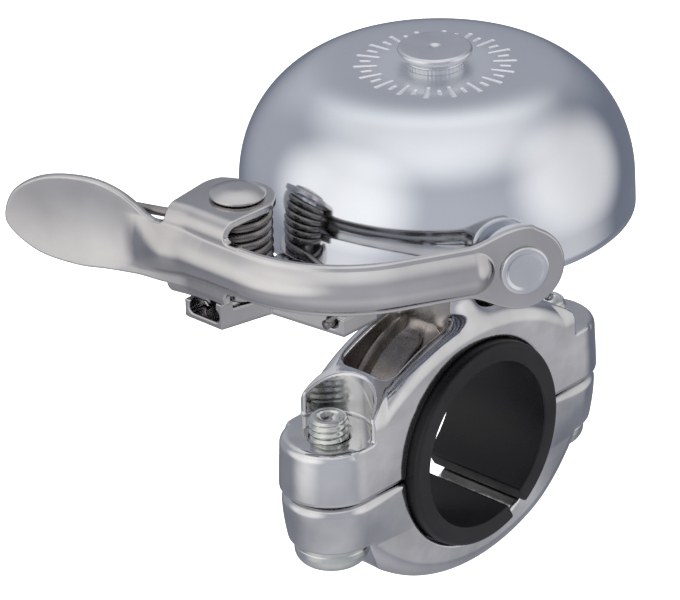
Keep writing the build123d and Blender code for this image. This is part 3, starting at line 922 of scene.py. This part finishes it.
def lever_field():
    """Field of the sheet bent along its run, ribbed and dished, with the fork folded over the pin."""
    blade = looked_up(blade_outline, (5.0, EAR_U + 9), (33.0, 53.0))
    fork = looked_up(fork_outline, (PIN_U - 16, PIN_U + 16), (-26.0, 26.0))
    rib_end = EAR_U - 7.6

    def pressed_rib(u, z):
        """How far the rib stands out of the sheet: full width at the neck, a round nose at the ear."""
        grown = RIB_BULGE * eased(u, NECK_U - 2.5, NECK_U + 5.5)
        half = RIB_HALF + 0.9 * (1 - np.clip((u - NECK_U) / 12, 0, 1))
        across = np.hypot(z - ARM_Z, np.maximum(u - rib_end, 0))
        crown = 1 - (across / half) ** 2
        return grown * (crown + np.sqrt(crown * crown + 0.008)) / 2

    def field(x, y, z):
        u, t = along_run(LEVER_RUN, x, y)
        along = (u - NECK_U - DISH_MIDDLE[0]) / DISH_HALF[0]
        reach = along ** 2 + ((z - ARM_Z - DISH_MIDDLE[1]) / DISH_HALF[1]) ** 2
        dish = PADDLE_DISH * np.maximum(1 - reach, 0) ** 1.5
        t = t - pressed_rib(u, z)
        arm = meet(blade(u, z), slab(t + dish, -SHEET, 0) * 0.8, 0.4)

        rise = z - FORK_MIDDLE_Z
        depth = -t
        corner_v = FORK_HALF - FLAP_BEND_R
        over = np.maximum(np.abs(rise) - corner_v, 0)
        inward = np.maximum(FLAP_BEND_R - depth, 0)
        around = np.arctan2(over, np.maximum(inward, 1e-6))
        v = np.minimum(np.abs(rise), corner_v) + around * FLAP_BEND_MIDDLE_R
        v = v + np.maximum(depth - FLAP_BEND_R, 0)
        v = v * np.where(rise < 0, -1.0, 1.0)
        skin = np.where(
            (over > 0) & (inward > 0),
            np.hypot(over, inward) - FLAP_BEND_R,
            np.where(inward > 0, -depth, np.abs(rise) - FORK_HALF),
        )
        thickness = np.where((over > 0) | (inward <= 0), FLAP_SHEET, SHEET)
        folded = meet(fork(u, v), np.maximum(skin, -thickness - skin), 0.25)
        swept = np.maximum(PIN[0] + 1.4 - x, y - PIN[1])
        swept = np.maximum(swept, z - FLAP_BOTTOM_Z - FLAP_SHEET - 0.3)
        swept = np.maximum(swept, FLAP_R - np.hypot(x - PIN[0], y - PIN[1]))
        folded = cut(folded, swept, 0.2)
        folded = np.maximum(folded, slab(x, PIN[0] - 8.4, PIN[0] + 7.5))
        lever = np.minimum(arm, folded)
        return cut(lever, upright(x, y, PIN, 2.76), 0.2)

    return field


def lever():
    """Thumb paddle, ribbed arm, fork and ear, all of one sheet."""
    piece = solid("lever_pressed", lever_field(), LEVER_LOW, LEVER_HIGH, 0.16)
    return finished(piece, "lever", "striker_arm")


def ear_matrix():
    """Stands a turned piece's axis square to the ear, its height counted from the ear's face."""
    axis = Vector((EAR_NORMAL[0], EAR_NORMAL[1], 0))
    matrix = axis.to_track_quat("Z", "Y").to_matrix().to_4x4()
    matrix.translation = (EAR_FACE[0] * MM, EAR_FACE[1] * MM, EAR_Z * MM)
    return matrix


def striker():
    """Round slug behind the ear."""
    corners = [
        (0, -4.3, 0), (4.9, -4.3, 0.3), (5.4, -3.8, 0.4), (5.4, -1.7, 0.3), (5.0, -1.3, 0.15), (0, -1.3, 0),
    ]
    piece = turned("striker_slug", rounded_profile(corners), 128)
    piece.data.transform(ear_matrix())
    return finished(piece, "striker", "striker_arm")


def striker_rivet():
    """Rivet head with a raised round rim and a dished middle."""
    corners = [
        (0, -3.2, 0), (1.9, -3.2, 0.1), (1.9, 0.02, 0.05), (3.35, 0.0, 0.05), (3.59, 0.2, 0.2),
        (3.5, 0.6, 0.35), (3.1, 0.74, 0.3), (2.8, 0.68, 0.3), (2.5, 0.48, 0.35), (1.3, 0.40, 0.5),
        (0, 0.38, 0),
    ]
    piece = turned("striker_rivet_dished", rounded_profile(corners, 6), 128)
    piece.data.transform(ear_matrix())
    return finished(piece, "striker_rivet", "striker_arm")


# ---- handlebar clamp -----------------------------------------
CLAMP_BORE_R = 15.9
CLAMP_HALF = 7.5
BOLT_Y = -node_middle("clamp_bolt_left")[1]
BOLT_R = 2.92
LAND_Z = 8.7                    # flat under the screw's tip
SEAT_R = 6.55                   # round recess that hoods the screw's tip
HOOD_END_Y = 22.2               # where the hood's walls stop beside the screw
LOWER_BOSS_Z = node_box("bolt_washer_left")[1][2]
BOSS_END_Y = node_box("upper_clamp")[1][1]
NECK_TOP_Z = node_box("upper_clamp")[1][2]
SPLIT = 0.2                     # half of the gap between the halves
BORE_EDGE = 0.4                 # rounding of the bore's edge
TAPER_Y = (12, 28)              # where the faces begin and end leaning in
POCKET_Y, POCKET_HALF = 9.1, (7.1, 4.8)     # the pocket's middle and half its sides
PAD_Y, PAD_HALF = 10.4, (4.4, 2.4)          # the same for the pad on its floor


def upper_clamp():
    """Arched half: hooded seats for the screws, cored pockets beside a flared neck."""
    low, high = node_box("upper_clamp")
    arch_r, arch_z = 35.5, -15.7

    def pocket_field(x, y, z):
        """Cored pocket with a raised pad on its floor, negative in the hollow."""
        side = np.abs(y)
        walls = round_box_2d(side - POCKET_Y, x, *POCKET_HALF, 1.6)
        floor = CLAMP_BORE_R + 1.7 - np.hypot(y, z)
        pad = meet(round_box_2d(side - PAD_Y, x, *PAD_HALF, 1.2), -(floor + 0.75), 0.3)
        return np.maximum(np.maximum(meet(walls, floor, 0.9), -pad), 9 - z)

    def field(x, y, z):
        side = np.abs(y)
        taper = 0.3 * eased(z, SPLIT, LAND_Z + 2) * eased(side, *TAPER_Y)
        sides = capsule_2d(x, y, BOSS_END_Y - CLAMP_HALF, CLAMP_HALF) + taper
        seat = np.hypot(x, side - BOLT_Y)
        hooded = eased(seat, 8.6, 7.0)
        arch = np.hypot(y, z - arch_z) - arch_r - 0.15 * hooded
        shoulder = meet(sides, arch, 2.6 - 1.7 * hooded)
        boss = meet(sides, z - LAND_Z, 1.3)
        above = meet(join(seat - SEAT_R, HOOD_END_Y - side, 0.3), LAND_Z - z, 0.4)
        body = np.minimum(cut(shoulder, above, 0.3), boss)
        body = cut(body, pocket_field(x, y, z), 0.8)
        neck_r = 5.0 + 0.25 * np.clip((z - 27) / 4, 0, 1)
        neck = meet(np.hypot(x, y) - neck_r, slab(z, 16.5, NECK_TOP_Z), 0.5)
        body = join(body, neck, 2.6)
        body = meet(body, SPLIT - z, 0.75)
        body = cut(body, np.hypot(y, z) - CLAMP_BORE_R, BORE_EDGE)
        tapped = seat - 3.0 - 0.7 * np.clip((z - LAND_Z + 0.35) / 0.35, 0, 1)
        body = cut(body, tapped, 0.1)
        threaded = np.maximum(np.hypot(x, y) - 2.5, 21 - z)
        return cut(body, threaded, 0.15)

    piece = solid("upper_clamp_cast", field, low - 0.1, high + 0.1, 0.25)
    finished(piece, "upper_clamp", "frame")
    points = np.array([vertex.co for vertex in piece.data.vertices]) / MM
    # the faces inside the pockets take the darker metal, painted shade for the recesses
    second_material(piece, metal("pocket_painted_shade", *POCKET_SHADE_PAINT), pocket_field(*points.T) < 0.12, 4)
    return piece


def lower_clamp():
    """Belly half: rounded end bosses with seats under the screw heads."""
    low, high = node_box("lower_clamp")
    belly_r, belly_z = 31.9, 11.3

    def field(x, y, z):
        side = np.abs(y)
        share = np.clip((-SPLIT - z) / 8, 0, 1)
        taper = (0.3 + 0.9 * share ** 2) * eased(side, *TAPER_Y)
        sides = capsule_2d(x, y, BOSS_END_Y - CLAMP_HALF, CLAMP_HALF) + taper
        belly = np.hypot(y, z - belly_z) - belly_r
        main = meet(sides, belly, 2.8)
        boss = meet(sides, LOWER_BOSS_Z - z, 0.8)
        body = np.minimum(main, boss)
        under = np.maximum(np.hypot(x, side - BOLT_Y) - 6.3, z - LOWER_BOSS_Z)
        body = cut(body, under, 0.4)
        lip = 0.5 + 0.9 * eased(side, 14, 24)
        body = meet(body, z + SPLIT, lip)
        body = cut(body, np.hypot(y, z) - CLAMP_BORE_R - 0.05, BORE_EDGE)
        return cut(body, np.hypot(x, side - BOLT_Y) - 3.3, 0.2)

    piece = solid("lower_clamp_cast", field, low - 0.1, high + 0.1, 0.25)
    return finished(piece, "lower_clamp", "lower_half")


SLEEVE_R = 12.7
SLEEVE_OUTER_R = 15.72
SLIT_ANGLE = radians(-63)
SLIT_HALF = 1.5


def bar_sleeve():
    """Rubber sleeve, slit along its lower side, its ends proud of the clamp."""
    low, high = node_box("bar_sleeve")

    def field(x, y, z):
        r = np.hypot(y, z)
        sleeve = meet(meet(r - SLEEVE_OUTER_R, np.abs(x) - high[0], 0.7), SLEEVE_R - r, 0.3)
        along = y * cos(SLIT_ANGLE) + z * sin(SLIT_ANGLE)
        across = -y * sin(SLIT_ANGLE) + z * cos(SLIT_ANGLE)
        slit = np.maximum(np.abs(across) - SLIT_HALF, -along)
        return cut(sleeve, slit, 0.35)

    piece = solid("bar_sleeve_moulded", field, low, high, 0.24)
    return finished(piece, "bar_sleeve", "frame")


HEAD_R = 5.5
RECESS_HALF = (2.4, 0.55)       # half the length and half the width of a wing of the cross
RECESS_DEPTH = 1.8
THREAD_PITCH = 1.0
THREAD_DEPTH = 0.36


def clamp_bolt(node):
    """M6 pan-head screw, head down: cross recess below, thread and hollow tip above."""
    low, high = node_box(node)
    middle_y = node_middle(node)[1]
    head_top = LOWER_BOSS_Z - 0.5

    def field(x, y, z):
        across = y - middle_y
        r = np.hypot(x, across)
        head = meet(r - HEAD_R, slab(z, low[2] - 1, head_top), 0.3)
        crown = np.hypot(np.maximum(r - 3.2, 0), np.maximum(low[2] + 2.3 - z, 0)) - 2.3
        head = np.maximum(head, crown)
        long, wide = RECESS_HALF
        wings = np.minimum(np.maximum(np.abs(x) - long, np.abs(across) - wide),
                           np.maximum(np.abs(across) - long, np.abs(x) - wide))
        recess = np.maximum(wings + (z - low[2]) * 0.28, z - low[2] - RECESS_DEPTH)
        head = cut(head, recess, 0.12)
        turn = z / THREAD_PITCH - np.arctan2(across, x) / tau
        tooth = np.abs((turn % 1.0) * 2 - 1)
        groove = THREAD_DEPTH * np.clip(1.25 * tooth - 0.12, 0, 1)
        shank = (r - BOLT_R + groove) * 0.8
        shank = meet(shank, slab(z, head_top - 0.5, high[2]), 0.15)
        shank = np.maximum(shank, (r + (z - high[2]) * 0.9) - BOLT_R + 0.45)
        cup = np.hypot(r, z - high[2] - 1.0) - 2.1
        shank = cut(shank, cup, 0.12)
        return np.minimum(head, shank)

    piece = solid(node + "_threaded", field, low, high, 0.13)
    return finished(piece, node, "lower_half")


# ---- build ---------------------------------------------------
bell_dome()
dome_nut()
dome_post()
pivot_pin()
torsion_spring()
bracket()
lever()
striker()
striker_rivet()
upper_clamp()
lower_clamp()
bar_sleeve()
clamp_bolt("clamp_bolt_left")
clamp_bolt("clamp_bolt_right")

KEPT_NODES = (
    "dome_seat", "post_washer", "pivot_spacer", "pivot_bush", "spring_washer",
    "bolt_washer_left", "bolt_washer_right",
)
for node in KEPT_NODES:
    kept = frame["nodes"][node]
    kept.data.materials.clear()
    kept.data.materials.append(MATERIALS[SLOT_OF_NODE[node]])


# ---- studio --------------------------------------------------
FLOOR_DROP = 60                 # how far the floor lies below the part
FLOOR_HALF = 4000
FLOOR_COLOUR = (0.97, 0.97, 0.975)


def pale_floor():
    """Flat floor with a slightly cloudy paint; the metal mirrors the sky's lower half instead of it."""
    z = cad_box[0][2] / MM - FLOOR_DROP
    corners = [(FLOOR_HALF * i, FLOOR_HALF * j, z) for i, j in ((-1, -1), (1, -1), (1, 1), (-1, 1))]
    floor = mesh_object("floor", corners, [(0, 1, 2, 3)])
    paint = Paint("floor", FLOOR_COLOUR, 0.0, 0.9)
    paint.colour(paint.noise(2.0, 2.0), tuple(0.99 * c for c in FLOOR_COLOUR), FLOOR_COLOUR)
    paint.shader["Specular IOR Level"].default_value = 0.0
    paint.shader["Emission Color"].default_value = (*FLOOR_COLOUR, 1)
    paint.shader["Emission Strength"].default_value = 0.85
    floor.data.materials.append(paint.material)
    floor.visible_glossy = False


def key_light():
    """Square soft box aimed at the bell from the camera's left; the metal doesn't mirror it."""
    data = bpy.data.lights.new("key", "AREA")
    data.shape = "RECTANGLE"
    data.size = data.size_y = 0.3
    data.energy = 2.0
    light = bpy.data.objects.new("key", data)
    place, aim = Vector((200, -220, 450)), Vector((0, -8, 25))
    light.location = place * MM
    light.rotation_euler = (aim - place).to_track_quat("-Z", "Y").to_euler()
    light.visible_glossy = False
    bpy.context.scene.collection.objects.link(light)


def studio_world():
    """Studio round the bell: a bright ceiling, a soft box on each side, dim behind."""
    world = bpy.data.worlds.new("studio")
    bpy.context.scene.world = world
    world.use_nodes = True
    tree = world.node_tree
    direction = add_node(tree, "TexCoord", {}).outputs["Generated"]

    def patch(azimuth, elevation, inner, outer, colour):
        """Round glow on the sky, full inside one angle and gone at another."""
        azimuth, elevation = radians(azimuth), radians(elevation)
        towards = (cos(azimuth) * cos(elevation), sin(azimuth) * cos(elevation), sin(elevation))
        lean = add_node(tree, "VectorMath", {0: direction, 1: towards}, operation="DOT_PRODUCT")
        span = {"From Min": cos(radians(outer)), "From Max": cos(radians(inner))}
        span["Value"] = lean.outputs["Value"]
        fade = add_node(tree, "MapRange", span, interpolation_type="SMOOTHSTEP").outputs["Result"]
        return add_node(tree, "VectorMath", {0: colour, "Scale": fade}, operation="SCALE").outputs["Vector"]

    glows = [
        patch(130, 88, 0, 60, (0.66, 0.65, 0.62)),
        patch(-108, 12, 14, 54, (0.64, 0.62, 0.57)),
        patch(-170, 14, 0, 55, (0.22, 0.22, 0.22)),
        patch(132, 36, 0, 50, (0.20, 0.20, 0.20)),
        patch(42, 10, 18, 50, (0.58, 0.56, 0.52)),
        patch(-48, -5, 0, 115, (0.34, 0.34, 0.34)),
        patch(0, -90, 0, 70, (0.20, 0.19, 0.18)),
    ]
    total = (0.175, 0.19, 0.24)
    for glow in glows:
        total = add_node(tree, "VectorMath", {0: total, 1: glow}, operation="ADD").outputs["Vector"]
    tree.links.new(total, tree.nodes["Background"].inputs["Color"])


pale_floor()
key_light()
studio_world()
bpy.context.scene.view_settings.view_transform = "Standard"


# ---- camera --------------------------------------------------
def camera():
    """Long lens at the photograph's angle, rolled a little to the right."""
    data = bpy.data.cameras.new("camera")
    data.lens = 264.7
    data.sensor_width = 36
    data.clip_end = 20
    view = bpy.data.objects.new("camera", data)
    forward = Vector((-0.6096, 0.6503, -0.4533))
    up = Vector((-0.2906, 0.3488, 0.8910))
    right = forward.cross(up)
    turn = Matrix((right, up, -forward)).transposed().to_4x4()
    turn.translation = Vector((431.7, -481.48, 349.93)) * MM
    view.matrix_world = turn
    bpy.context.scene.collection.objects.link(view)
    bpy.context.scene.camera = view


camera()
